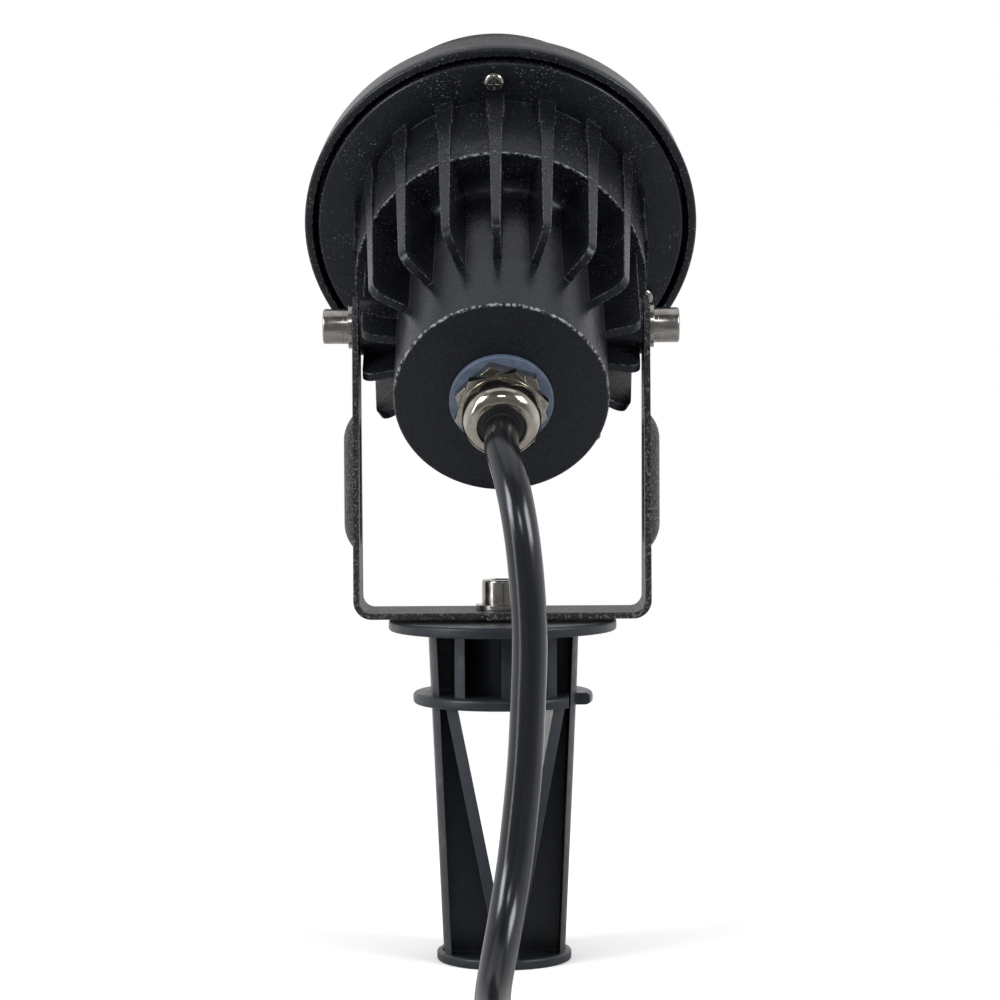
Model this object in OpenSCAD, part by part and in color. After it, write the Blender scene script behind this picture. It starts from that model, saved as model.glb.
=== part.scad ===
// Garden spotlight on a ground stake: a finned lamp head that tilts in a U bracket,
// a bracket that turns on the stake, and a rubber cord that leaves through a gland.
// Millimetres, +Z up, origin at the centre of the stake's foot. The lamp shines towards +Y.

/* [Head] */
// Upward tilt of the lamp axis at rest, in degrees
head_tilt = 30; // [10:1:50]
// Radius of the cylindrical core
core_r = 25.3; // [24:0.1:27]
// Distance from the pivot back to the rear face
core_back = 34.5; // [31:0.5:42]
// Thickness of the rear wall
rear_wall = 3; // [2:0.5:5]
// Radius of the chamber that holds the driver
chamber_r = 21.8; // [20:0.1:22.4]
// Radius of the drum in front of the core
drum_r = 36.1; // [35:0.1:37]
// Distance from the pivot forward to the back of the drum
drum_back = 21; // [18:1:26]
// Thickness of the drum's wall and of its back
drum_wall = 3; // [2:0.5:4]
// Fillet between the core and the drum
drum_fillet = 4; // [1:0.5:6]
// Width of the flange beyond the circle of cap screws
flange_margin = 4.8; // [4:0.1:6]
// Distance from the pivot forward to the back of the flange
flange_back = 49.6; // [46:0.2:60]
// Thickness of the flange
flange_t = 4; // [3:0.5:6]
// Rounding of the flange's rear edge
flange_edge_r = 0.9; // [0.3:0.1:1.5]

/* [Fins] */
// Number of fins around the head
fin_count = 18; // [9:1:24]
// Turn of the whole pattern of fins about the lamp axis, in degrees
fin_turn = 1.75; // [0:0.25:10]
// Outer radius of the fins at the flange
fin_r_front = 38; // [37:0.1:40]
// Outer radius of the fins at their rear ends
fin_r_rear = 35.1; // [34:0.1:36.5]
// Thickness of a fin where its pad begins
fin_t_front = 3.4; // [2.4:0.1:3.8]
// Thickness of a fin at its rear end
fin_t_rear = 2; // [1.4:0.1:2.6]
// Width of the pad that each fin has at the flange
fin_pad_w = 4.4; // [3.8:0.1:5.6]
// Length of that pad along the axis
fin_pad_len = 11.6; // [6:0.2:14]
// Distance from the pivot back to the rear ends of the fins
fin_back = 13.5; // [8:0.5:24]
// Radius of a fin's outer rear corner
fin_corner_r = 4; // [1:0.5:6]
// Radius of the rear corner of the fins that are trimmed beside the arms
fin_trim_corner_r = 3; // [1:0.5:4]
// Distance from the pivot forward to where the fins beside the arms get their full radius
fin_full_from = 32; // [27:1:40]
// Gap between the trimmed fins and the arms
fin_arm_gap = 0.9; // [0.5:0.1:1.5]

/* [Cap and lens] */
// Wall of the cap's skirt
cap_wall = 2; // [1.5:0.1:2.5]
// Gap between the flange and the cap's skirt
cap_gap = 1.5; // [1:0.1:2]
// Distance from the pivot forward to the rim of the cap's skirt
cap_back = 50.2; // [46:0.2:60]
// How much narrower the cap is at its front, on the radius
cap_draft = 1.2; // [0:0.1:2]
// Thickness of the cap's front plate
cap_lip_t = 2.4; // [1.5:0.1:4]
// Rounding of the cap's front edge
cap_edge_r = 1.5; // [0.4:0.1:2]
// Rounding of the rim of the cap's skirt
cap_rim_r = 0.8; // [0.3:0.1:0.9]
// Chamfer around the cap's opening
cap_chamfer = 0.6; // [0.2:0.1:1]
// Overlap of the cap's front plate on the lens
lens_cover = 3; // [2:0.5:5]
// Radius of the glass lens
lens_r = 38; // [36:0.1:42]
// Thickness of the glass lens
lens_t = 4; // [2:0.5:5]
// Thickness of the lens gasket
gasket_t = 0.8; // [0.5:0.1:2]
// Width of the lens gasket
gasket_w = 5.5; // [4:0.5:6]
// Forward reach of the small visor on the cap's top edge
visor_reach = 1.4; // [0.6:0.1:4]
// Width of the visor
visor_w = 24; // [16:1:44]
// Thickness of the visor
visor_t = 2.4; // [1.5:0.1:2.4]
// Turn of the visor away from the top, in degrees
visor_turn = 4.4; // [0:0.2:10]
// Gap between the lens and the bosses around it
lens_fit = 0.4; // [0.2:0.1:1]
// Number of cap screws
cap_screws_n = 3; // [3:1:6]
// Radius of a boss for a cap screw
cap_boss_r = 3.3; // [2.6:0.1:3.6]

/* [Light engine] */
// Thickness of the plate that carries the light source
plate_t = 3; // [2:0.5:4]
// Gap between the inner pieces and the walls around them
inner_gap = 0.3; // [0.2:0.05:0.4]
// Radius of the circle of plate screws
plate_screw_ring = 26.5; // [25.5:0.1:27]
// Side of the square light source board
cob_w = 19; // [15:0.5:19]
// Thickness of the light source board
cob_t = 1.5; // [1:0.1:2]
// Radius of the light emitting face
emitter_r = 7; // [5:0.5:8]
// Radius of the light source holder
holder_r = 17.5; // [16:0.5:20]
// Thickness of the light source holder
holder_t = 3; // [2.5:0.1:4]
// Radius of the window in the holder, and of the reflector's small end
window_r = 8.6; // [8.2:0.1:9]
// Width of the flat brim around the reflector's mouth
brim_w = 3.8; // [3:0.1:6]
// Wall of the reflector
reflector_wall = 1.2; // [0.8:0.1:1.5]
// Length of the supply wires from the cord's sheath to the driver's board
supply_len = 8; // [6:0.5:12]
// Thickness of the driver's circuit board
board_t = 1.6; // [1:0.1:2]

/* [Bracket] */
// Thickness of the bracket's strap
strap_t = 1.5; // [1.2:0.1:2]
// Clear width between the two arms
arm_gap = 68.6; // [68.4:0.1:69]
// Width of the strap at the bottom
strap_w = 22.4; // [19:0.1:25]
// Radius of the rounded ear around each pivot
ear_r = 7.2; // [6:0.1:9]
// Outer radius of the two bends
bend_r = 4.4; // [3:0.1:7]
// Height of the pivot above the underside of the strap
pivot_above_strap = 70.4; // [69:0.1:75]
// Length of the stiffening bead in each arm
bead_len = 32.6; // [20:0.1:38]
// Distance from the pivot down to the top of the bead
bead_drop = 21.4; // [18:0.1:24]
// Height of the bead above the face of the arm
bead_h = 2.5; // [1:0.1:3]
// Width of the bead
bead_w = 12.4; // [6:0.1:14]

/* [Fasteners] */
// Radius of a pivot bolt's shank
pivot_bolt_r = 2.5; // [2:0.1:3]
// Length of a pivot bolt under its head
pivot_bolt_len = 14; // [12:1:15]
// Radius of a pivot bolt's head
pivot_head_r = 4.25; // [4:0.05:5]
// Radius of the flat washers on the pivot bolts
flat_washer_r = 5.4; // [5:0.1:6.5]
// Thickness of the flat washers on the pivot bolts
flat_washer_t = 1; // [0.6:0.1:1.6]
// Thickness of the spring washers on the pivot bolts
spring_washer_t = 1.2; // [0.8:0.1:1.6]
// Radius of the base bolt's shank
base_bolt_r = 3; // [2.5:0.1:3.3]
// Length of the base bolt under its head
base_bolt_len = 20; // [18:1:22]
// Radius of the base bolt's head
base_head_r = 5; // [4.6:0.1:6]
// Radius of the washer under the base bolt's head
base_washer_r = 6.5; // [6:0.1:9]
// Thickness of the washer under the base bolt's head
base_washer_t = 1.2; // [0.8:0.1:1.6]
// Thickness of the washer between the bracket and the stake
swivel_washer_t = 0.7; // [0.5:0.1:1.5]
// Radial play of a bolt in the hole that turns on it
bolt_play = 0.06; // [0.03:0.01:0.09]
// Play between faces that turn on each other
face_play = 0.1; // [0.05:0.01:0.2]

/* [Gland] */
// Width across the flats of the gland's hexagons
gland_af = 19.4; // [18.4:0.1:22]
// Radius of the gland's thread through the rear wall
gland_thread_r = 8; // [7.6:0.1:8.4]
// Radius of the plastic washer under the gland
gland_washer_r = 12.2; // [11.6:0.1:14]
// Thickness of the plastic washer under the gland
gland_washer_t = 1.5; // [1:0.1:2.5]
// Length of the gland body's hexagon
gland_body_hex = 2.5; // [2:0.1:5]
// Length of the gland nut's hexagon
gland_nut_hex = 2; // [1.5:0.1:4]
// Length of the gland nut's dome
gland_dome = 7; // [5:0.1:9]
// Radius of the gland nut's mouth
gland_mouth_r = 5.7; // [5.4:0.1:6]

/* [Stake] */
// Radius of the stake's top disc
top_disc_r = 27.7; // [24:0.1:28]
// Thickness of the stake's top disc
top_disc_t = 2.6; // [2:0.1:4]
// Height of the upper face of the stake's top disc
top_disc_z = 83.2; // [78:0.2:90]
// Radius of the collar
collar_r = 21.85; // [20:0.05:24]
// Thickness of the collar
collar_t = 2.85; // [2:0.05:4]
// Distance from the top disc's upper face down to the collar's underside
collar_drop = 20.4; // [17:0.1:24]
// Radius of the foot disc
foot_r = 16.4; // [15.8:0.1:20]
// Thickness of the foot disc
foot_t = 2.4; // [1.6:0.1:4]
// Turn of the stake about its axis against the bracket, in degrees
stake_turn = 2.7; // [0:0.1:10]
// Radius of the cone around the stake's plates, at the collar
plates_r_top = 18.7; // [18.5:0.1:20]
// Radius of the cone around the stake's plates, at the foot
plates_r_foot = 15; // [14.9:0.1:15.6]
// Radius around the hub's ribs, above the collar
hub_r = 19.1; // [18.8:0.1:20.5]
// Thickness of the stake's plates
plate_wall = 1.6; // [1.4:0.1:2.2]
// Distance of the side plates from the centre, under the top disc
side_x_top = 17.2; // [16.8:0.1:17.6]
// Distance of the side plates from the centre, at the foot
side_x_foot = 13.9; // [13.5:0.1:14]
// Half width of the open V under the collar
v_half_w = 11.5; // [8:0.1:11.8]
// Height of the lower tip of the open V
v_tip_z = 4.5; // [4:0.5:16]
// Width of the V's walls, measured across
v_wall = 2.8; // [2:0.1:3.2]
// Distance of the outer hub ribs from the centre
rib_x = 11; // [10.6:0.1:12.5]
// Thickness of the hub ribs
rib_t = 2.4; // [1.6:0.1:3]
// Radius of the boss for the base bolt
hub_boss_r = 9.9; // [8:0.1:10.5]
// Distance from the centre out to the notch in the collar
notch_x = 15; // [13:0.1:16]
// Distance from the centre back to the notch's end face
notch_y = 7; // [4:0.5:12]

/* [Cord] */
// Diameter of the cord
cord_d = 8; // [6:0.5:8]
// Gap between neighbouring turns of the coil
coil_gap = 0.5; // [0.45:0.05:1]
// Radius of the coil's outer turn, to the middle of the cord
coil_r = 50; // [48:1:60]
// Turns of the coil's bottom layer
coil_turns_in = 1.5; // [1:0.25:2]
// Turns of the coil's top layer
coil_turns_out = 1.4; // [0.75:0.05:1.5]
// Length of the stripped cores at the end of the cord
core_len = 34; // [20:1:40]
// Thickness of the tie around the coil
tie_t = 0.6; // [0.4:0.1:1]
// Width of the tie
tie_w = 3.2; // [2:0.2:5]
// Gap between the tie and the cord
tie_gap = 0.3; // [0.25:0.05:0.5]

/* [Hidden] */
$fn = 64;

// A cut reaches this far past the face that it opens
past = 1;

// Heights of the stack on the stake
strap_z = top_disc_z + swivel_washer_t + face_play;
pivot_z = strap_z + pivot_above_strap;
base_washer_z = strap_z + strap_t + face_play;
base_head_z = base_washer_z + base_washer_t;
base_head_h = 2 * base_bolt_r;
nut_h = 5;
nut_af = 2 * base_bolt_r + 4;
nut_gap = 0.1;
nut_top_z = base_head_z - base_bolt_len + nut_h + 0.3;

// Places across the arms, from the centre outwards
arm_in_x = arm_gap / 2;
arm_out_x = arm_in_x + strap_t;
boss_face_x = arm_in_x - face_play;
boss_r = 7;
flat_washer_x = arm_out_x + face_play;
spring_washer_x = flat_washer_x + flat_washer_t;
pivot_head_x = spring_washer_x + spring_washer_t;
pivot_head_h = 2 * pivot_bolt_r;
thread_gap = 0.05;
washer_gap = 0.1;

// Places along the lamp axis, from the pivot forwards
cap_screw_ring = lens_r + lens_fit + cap_boss_r;
flange_r = cap_screw_ring + flange_margin;
flange_front = flange_back + flange_t;
lens_back = flange_front + gasket_t;
lens_front = lens_back + lens_t;
cap_front = lens_front + cap_lip_t;
cap_r = flange_r + cap_gap + cap_wall;
cap_front_r = cap_r - cap_draft;
cavity_r = drum_r - drum_wall;
ledge = drum_back + drum_wall;
plate_front = ledge + plate_t;
holder_front = plate_front + holder_t;
mouth_r = cavity_r - inner_gap - brim_w;
brim_t = 1.2;
brim_front = flange_front - 0.2;
fin_trim_x = arm_in_x - fin_arm_gap;

// Small screws
screw_r = 1.5;
screw_head_r = 2.55;
screw_head_h = 1.8;
screw_access = 0.5;
cap_screw_angle = 92;
plate_screws_n = 3;

// Places on the gland, from the rear face backwards
gland_hex_at = gland_washer_t;
gland_collar_at = gland_hex_at + gland_body_hex;
gland_nut_at = gland_collar_at + 0.1;
gland_dome_at = gland_nut_at + gland_nut_hex;
gland_end = gland_dome_at + gland_dome;
gland_body_turn = -43.5;
gland_nut_turn = -12.6;
gland_tube_r = 7.3;
gland_tube_end = gland_dome_at + 1.5;
cord_r = cord_d / 2;
cord_fit = 0.05;
cord_exit = gland_end + 0.8;
sheath_inside = rear_wall + 4;
locknut_t = 3;

// Driver inside its chamber
board_half_w = sqrt(chamber_r * chamber_r - board_t * board_t / 4) - 0.2;
board_front = ledge - 1.5;
board_back = sheath_inside - core_back + supply_len;
board_len = board_front - board_back;
led_wire_x = 12.4;
transformer = [18, 13, 15];
capacitor_r = 5;
capacitor_len = 12;
choke = [6, 4, 10];
relay = [7, 7, 6];
rectifier = [8, 2, 6];
controller = [5, 1.6, 9];
wire_r = 0.8;

// Stake
collar_z = top_disc_z - collar_drop;
top_disc_under = top_disc_z - top_disc_t;
foot_recess = 0.5;
foot_rim = 1.4;

// Unit vector along v
function unit(v) = v / norm(v);

// Points of an arc about c in the plane, from angle a to angle b in n steps
function arc(c, r, a, b, n = 6) = [for (i = [0:n]) c + r * [cos(a + (b - a) * i / n), sin(a + (b - a) * i / n)]];

// Directions along a route, from the neighbours of each point
function tangents(p) = [for (i = [0:len(p) - 1]) unit(p[min(i + 1, len(p) - 1)] - p[max(i - 1, 0)])];

// One side direction for each point, carried along the route without twist
function sides(t, first) =
    [for (i = 0, s = first; i < len(t); i = i + 1, s = i < len(t) ? unit(s - (s * t[i]) * t[i]) : s) s];

// A closed tube of n sides and radius r along the points p
module tube(p, r, n, first) {
    t = tangents(p);
    s = sides(t, unit(first - (first * t[0]) * t[0]));
    m = len(p);
    points = [
        for (i = [0:m - 1])
            for (k = [0:n - 1])
                let (u = s[i], v = cross(t[i], s[i]))
                    p[i] + r * (cos(360 * k / n) * u + sin(360 * k / n) * v)
    ];
    walls = [
        for (i = [0:m - 2])
            for (k = [0:n - 1])
                let (a = i * n + k, b = i * n + (k + 1) % n)
                    each [[a, a + n, b + n], [a, b + n, b]]
    ];
    start = [for (k = [1:n - 2]) [0, k, k + 1]];
    end = [for (k = [1:n - 2]) [(m - 1) * n, (m - 1) * n + k + 1, (m - 1) * n + k]];
    polyhedron(points, concat(walls, start, end));
}

// The cord leaves the gland along the lamp axis
cord_out = [0, -cos(head_tilt), -sin(head_tilt)];
cord_start = [0, 0, pivot_z] + (core_back + cord_exit) * cord_out;

// The coil lies behind the lamp, outside what the cord shows. Angles count from +X, anticlockwise.
coil_centre = [0, -190];
coil_from = 122.2;
coil_pitch = cord_d + coil_gap;
coil_turns = coil_turns_in + coil_turns_out;
coil_steps = 24;
tie_angle = coil_from + 5 * 360 / coil_steps;
climb = 0.5;

// The cord rises over the tie's lower strand, here in degrees from the tie
function tie_rise(angle) =
    let (off = ((angle - tie_angle + 540) % 360 - 180) / 30) (tie_t + tie_gap) * exp(-off * off);

// Middle of the cord in the coil after a number of turns: in along the floor, then out on top
function coil_radius(turn) = coil_r - coil_pitch * (coil_turns_in - abs(turn - coil_turns_in));
function coil_layer(turn) =
    let (u = (turn - coil_turns_in) / climb + 0.5) u <= 0 ? 0 : u >= 1 ? 1 : (1 - cos(180 * u)) / 2;
function coil_point(turn, radius = undef) =
    let (angle = coil_from + 360 * turn, r = is_undef(radius) ? coil_radius(turn) : radius)
        [coil_centre[0] + r * cos(angle), coil_centre[1] + r * sin(angle),
         cord_r + tie_rise(angle) + coil_pitch * coil_layer(turn)];
function coil_heading(turn) =
    let (angle = coil_from + 360 * turn) [-sin(angle), cos(angle), 0];

coil_route = concat(
    [coil_point(0) - cord_d * coil_heading(0), coil_point(0) - cord_d / 2 * coil_heading(0)],
    [for (i = [0:floor(coil_turns * coil_steps)]) coil_point(i / coil_steps)],
    [coil_point(coil_turns) + cord_d / 2 * coil_heading(coil_turns),
     coil_point(coil_turns) + cord_d * coil_heading(coil_turns)]
);
coil_end = coil_route[len(coil_route) - 1];

// Least distance between points of the coil that are at least half a turn apart, less one diameter
coil_self_gap = min([
    for (i = [0:len(coil_route) - 1])
        for (j = [0:len(coil_route) - 1])
            if (j - i > coil_steps / 2) norm(coil_route[i] - coil_route[j])
]) - cord_d;
echo(coil_self_gap = coil_self_gap);

// Points that the cord follows from the gland down to the floor and round to the coil
lead_route = concat(
    [cord_start, cord_start + cord_d / 2 * cord_out, cord_start + cord_d * cord_out],
    [
        [0.7, -52.4, 123.8], [1.9, -56.7, 120], [3.2, -60.7, 114.3], [4.4, -63.4, 107],
        [5.3, -64.6, 98.7], [6, -65, 85], [5.6, -65.5, 70], [4.9, -66, 57], [3.6, -67, 44],
        [2.2, -69, 33], [0.6, -72.4, 24], [-0.6, -76.4, 18], [-1.7, -81.3, 13], [-2.5, -87, 9],
        [-2.6, -93.5, 6.2], [-2.3, -100, 4.6], [-1.7, -107, 4], [-1.2, -113.4, 4], [-2.1, -121.6, 4],
        [-5.2, -129.3, 4], [-10.1, -136, 4]
    ],
    [coil_route[0] - cord_d / 2 * coil_heading(0), coil_route[0]]
);

// Heights and radii of the three passes of the cord under the tie
tie_turn = (tie_angle - coil_from) / 360;
tie_passes = [
    for (turn = [tie_turn, tie_turn + 1, tie_turn + 2])
        if (turn <= coil_turns) [coil_radius(turn), coil_point(turn)[2]]
];

// Route of one stripped core: straight out of the sheath, then round with the coil onto the bottom layer
core_r_wire = 1.3;
core_steps = 8;
core_start = 3;
function core_route(out, up) =
    let (
        heading = coil_heading(coil_turns),
        outwards = [heading[1], -heading[0], 0],
        first = coil_end + out * outwards + [0, 0, up],
        from_centre = [coil_end[0], coil_end[1]] - coil_centre,
        r = norm(from_centre),
        base = atan2(from_centre[1], from_centre[0]),
        drop = coil_pitch - cord_r - core_r_wire - 0.1 + up
    )
        concat(
            [first, first + core_start * heading],
            [
                for (i = [1:core_steps])
                    let (
                        u = i / core_steps,
                        ease = (1 - cos(180 * u)) / 2,
                        angle = base + (core_start + (core_len - core_start) * u) / r * 180 / PI,
                        spread = r + out * (1 + ease)
                    )
                        [coil_centre[0] + spread * cos(angle), coil_centre[1] + spread * sin(angle),
                         coil_end[2] + up - drop * ease]
            ]
        );

// A flat disc with rounded edges, standing on z = 0
module rounded_disc(r, t, edge) {
    rotate_extrude()
        polygon(concat([[0, 0]], arc([r - edge, edge], edge, -90, 0), arc([r - edge, t - edge], edge, 0, 90), [[0, t]]));
}

// A hexagonal prism of a width across its flats
module hex_prism(af, h) {
    cylinder(r = af / sqrt(3), h = h, $fn = 6);
}

// A socket head bolt that hangs from z = 0, with its head above
module socket_bolt(shank_r, len, head_r, head_h, key_af) {
    edge = 0.5;
    translate([0, 0, -len])
        cylinder(r = shank_r, h = len + past);
    difference() {
        rotate_extrude()
            polygon(concat([[0, 0], [head_r, 0]], arc([head_r - edge, head_h - edge], edge, 0, 90, 4), [[0, head_h]]));
        translate([0, 0, head_h / 2])
            hex_prism(key_af, head_h);
    }
}

// A small pan head screw that hangs from z = 0, with its head above
module pan_screw(len) {
    translate([0, 0, -len])
        cylinder(r = screw_r, h = len + past / 2);
    difference() {
        rotate_extrude()
            polygon(concat([[0, 0], [screw_head_r, 0]], arc([screw_head_r - 1, screw_head_h - 1], 1, 0, 90, 4), [[0, screw_head_h]]));
        for (turn = [0, 90])
            rotate([0, 0, turn])
                translate([-1.5, -0.25, screw_head_h - 0.7])
                    cube([3, 0.5, 1]);
    }
}

// Puts its children in the lamp's frame: z runs forwards along the axis, -y is up, the pivot is the origin
module in_head() {
    translate([0, 0, pivot_z])
        rotate([head_tilt - 90, 0, 0])
            children();
}

// Puts its children behind the lamp's rear face: z runs backwards along the axis
module at_gland() {
    in_head()
        translate([0, 0, -core_back])
            mirror([0, 0, 1])
                children();
}

// Copies its children around the lamp axis. The first is at an angle counted from +X upwards.
module around(n, first) {
    for (i = [0:n - 1])
        rotate([0, 0, -(first + 360 * i / n)])
            children();
}

// Copies its children to the two ends of the pivot axis, with z outwards
module at_pivots() {
    for (side = [-1, 1])
        rotate([0, 90 * side, 0])
            children();
}

// Fins with the draft of a casting: thick at the flange, where each has a pad, and thin at the rear
module fins() {
    pad_at = flange_back - fin_pad_len;
    intersection() {
        around(fin_count, 90 + fin_turn)
            rotate([90, 0, 90])
                linear_extrude(fin_r_front + past)
                    for (side = [0, 1])
                        mirror([side, 0])
                            polygon([
                                [0, -fin_back], [fin_t_rear / 2, -fin_back], [fin_t_front / 2, pad_at],
                                [fin_pad_w / 2, pad_at + (fin_pad_w - fin_t_front)],
                                [fin_pad_w / 2, flange_back + past], [0, flange_back + past]
                            ]);
        rotate_extrude()
            polygon(concat(
                [[0, -fin_back]],
                arc([fin_r_rear - fin_corner_r, fin_corner_r - fin_back], fin_corner_r, -90, 0),
                [[fin_r_front, flange_back + past], [0, flange_back + past]]
            ));
    }
}

// What the arms leave no room for, on the side of +X
module beside_arm() {
    c = fin_trim_corner_r;
    rotate([90, 0, 0])
        linear_extrude(2 * fin_r_front, center = true)
            difference() {
                union() {
                    translate([fin_trim_x, -fin_back - past])
                        square([fin_r_front, fin_back + fin_full_from + past]);
                    translate([fin_trim_x - c, -fin_back - past])
                        square([2 * c, c + past]);
                }
                translate([fin_trim_x - c, c - fin_back])
                    circle(r = c, $fn = 32);
            }
}

module sink_body() {
    edge = 0.6;
    rotate_extrude()
        polygon(concat(
            [[0, -core_back]],
            arc([core_r - edge, edge - core_back], edge, -90, 0, 4),
            arc([core_r + drum_fillet, drum_back - drum_fillet], drum_fillet, 180, 90),
            [[drum_r, drum_back], [drum_r, flange_back]],
            arc([flange_r - flange_edge_r, flange_back + flange_edge_r], flange_edge_r, -90, 0, 4),
            [[flange_r, flange_front], [0, flange_front]]
        ));
}

module heat_sink() {
    color("#202226")
        in_head()
            difference() {
                union() {
                    sink_body();
                    difference() {
                        fins();
                        for (side = [0, 1])
                            mirror([side, 0, 0])
                                beside_arm();
                        around(cap_screws_n, cap_screw_angle)
                            translate([cap_screw_ring, 0, -fin_back - past])
                                cylinder(r = screw_head_r + screw_access, h = flange_back + fin_back + 2 * past);
                    }
                    at_pivots()
                        cylinder(r = boss_r, h = boss_face_x);
                }
                translate([0, 0, rear_wall - core_back])
                    cylinder(r = chamber_r, h = core_back + ledge);
                translate([0, 0, ledge])
                    cylinder(r = cavity_r, h = flange_front - ledge + past);
                translate([0, 0, -core_back - past])
                    cylinder(r = gland_thread_r + thread_gap, h = rear_wall + 2 * past);
                at_pivots()
                    translate([0, 0, pivot_head_x - pivot_bolt_len - 0.4])
                        cylinder(r = pivot_bolt_r + thread_gap, h = pivot_bolt_len);
                around(cap_screws_n, cap_screw_angle)
                    translate([cap_screw_ring, 0, flange_back - past])
                        cylinder(r = screw_r + thread_gap, h = flange_t + 2 * past, $fn = 24);
                around(plate_screws_n, 90)
                    translate([plate_screw_ring, 0, drum_back + 0.6])
                        cylinder(r = screw_r + thread_gap, h = drum_wall, $fn = 24);
            }
}

// The small arch that stands forward of the cap's edge, near the top
module visor() {
    arch_r = (visor_w * visor_w / 4 + visor_reach * visor_reach) / (2 * visor_reach);
    visor_r = cap_front_r - 0.1;
    rotate([0, 0, -visor_turn])
        intersection() {
            translate([0, 0, cap_front - cap_edge_r])
                difference() {
                    cylinder(r = visor_r, h = cap_edge_r + visor_reach);
                    translate([0, 0, -past])
                        cylinder(r = visor_r - visor_t, h = cap_edge_r + visor_reach + 2 * past);
                }
            translate([0, 0, cap_front + visor_reach - arch_r])
                rotate([90, 0, 0])
                    cylinder(r = arch_r, h = cap_r, $fn = 128);
        }
}

module front_cap() {
    mouth = lens_r - lens_cover;
    boss_h = lens_front - flange_front + cap_lip_t / 4;
    color("#1c1e22")
        in_head() {
            difference() {
                rotate_extrude()
                    polygon(concat(
                        [[cap_r - cap_wall, cap_back]],
                        arc([cap_r - cap_rim_r, cap_back + cap_rim_r], cap_rim_r, -90, 0, 4),
                        arc([cap_front_r - cap_edge_r, cap_front - cap_edge_r], cap_edge_r, 0, 90),
                        [[mouth + cap_chamfer, cap_front], [mouth, cap_front - cap_chamfer],
                         [mouth, lens_front], [cap_front_r - cap_wall, lens_front]]
                    ));
                around(cap_screws_n, cap_screw_angle)
                    translate([cap_screw_ring, 0, lens_front - past])
                        cylinder(r = screw_r + thread_gap, h = past + 0.4, $fn = 24);
            }
            around(cap_screws_n, cap_screw_angle)
                translate([cap_screw_ring, 0, flange_front])
                    difference() {
                        cylinder(r = cap_boss_r, h = boss_h, $fn = 32);
                        translate([0, 0, -past])
                            cylinder(r = screw_r + thread_gap, h = boss_h + 2 * past, $fn = 24);
                    }
            visor();
        }
}

module cap_screws() {
    color("silver")
        in_head()
            around(cap_screws_n, cap_screw_angle)
                translate([cap_screw_ring, 0, flange_back])
                    mirror([0, 0, 1])
                        pan_screw(lens_front - flange_back);
}

module glass_lens() {
    color("lightcyan", 0.5)
        in_head()
            translate([0, 0, lens_back])
                cylinder(r = lens_r, h = lens_t, $fn = 96);
}

module lens_gasket() {
    color("#3a3a3a")
        in_head()
            translate([0, 0, flange_front])
                difference() {
                    cylinder(r = lens_r, h = gasket_t);
                    translate([0, 0, -past])
                        cylinder(r = lens_r - gasket_w, h = gasket_t + 2 * past);
                }
}

// The reflector's bowl is a parabola from the holder's window out to its mouth
module reflector() {
    steps = 10;
    depth = brim_front - holder_front;
    bowl = [
        for (i = [0:steps])
            let (r = window_r + (mouth_r - window_r) * i / steps)
                [r, holder_front + depth * (r * r - window_r * window_r) / (mouth_r * mouth_r - window_r * window_r)]
    ];
    color("gainsboro")
        in_head()
            rotate_extrude()
                polygon(concat(
                    bowl,
                    [[cavity_r - inner_gap, brim_front], [cavity_r - inner_gap, brim_front - brim_t],
                     [mouth_r + reflector_wall - 0.4, brim_front - brim_t]],
                    [for (i = [steps - 1:-1:0]) bowl[i] + [reflector_wall, 0]]
                ));
}

module led_plate() {
    color("silver")
        in_head()
            translate([0, 0, ledge])
                difference() {
                    cylinder(r = cavity_r - inner_gap, h = plate_t);
                    around(plate_screws_n, 90)
                        translate([plate_screw_ring, 0, -past])
                            cylinder(r = screw_r + washer_gap, h = plate_t + 2 * past, $fn = 24);
                    for (side = [-1, 1])
                        translate([side * led_wire_x, 0, -past])
                            cylinder(r = wire_r + 0.5, h = plate_t + 2 * past, $fn = 24);
                }
}

module plate_screws() {
    color("gray")
        in_head()
            around(plate_screws_n, 90)
                translate([plate_screw_ring, 0, plate_front])
                    pan_screw(plate_t + drum_wall - 0.8);
}

module led_cob() {
    color("khaki")
        in_head()
            translate([0, 0, plate_front]) {
                translate([-cob_w / 2, -cob_w / 2, 0])
                    cube([cob_w, cob_w, cob_t]);
                cylinder(r = emitter_r, h = cob_t + 0.5);
            }
}

module cob_holder() {
    color("whitesmoke")
        in_head()
            translate([0, 0, plate_front])
                difference() {
                    cylinder(r = holder_r, h = holder_t);
                    translate([-cob_w / 2 - washer_gap, -cob_w / 2 - washer_gap, -past])
                        cube([cob_w + 2 * washer_gap, cob_w + 2 * washer_gap, cob_t + washer_gap + past]);
                    translate([0, 0, -past])
                        cylinder(r = window_r, h = holder_t + 2 * past);
                    for (side = [-1, 1])
                        translate([side * led_wire_x, 0, -past])
                            cylinder(r = wire_r + washer_gap, h = holder_t / 2 + past, $fn = 24);
                }
}

module led_wires() {
    color("firebrick")
        in_head()
            for (side = [-1, 1])
                translate([side * led_wire_x, 0, board_front])
                    cylinder(r = wire_r, h = plate_front + holder_t / 2 - board_front, $fn = 24);
}

module driver_board() {
    color("darkgreen")
        in_head()
            translate([-board_half_w, -board_t / 2, board_back])
                cube([2 * board_half_w, board_t, board_len]);
}

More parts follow.
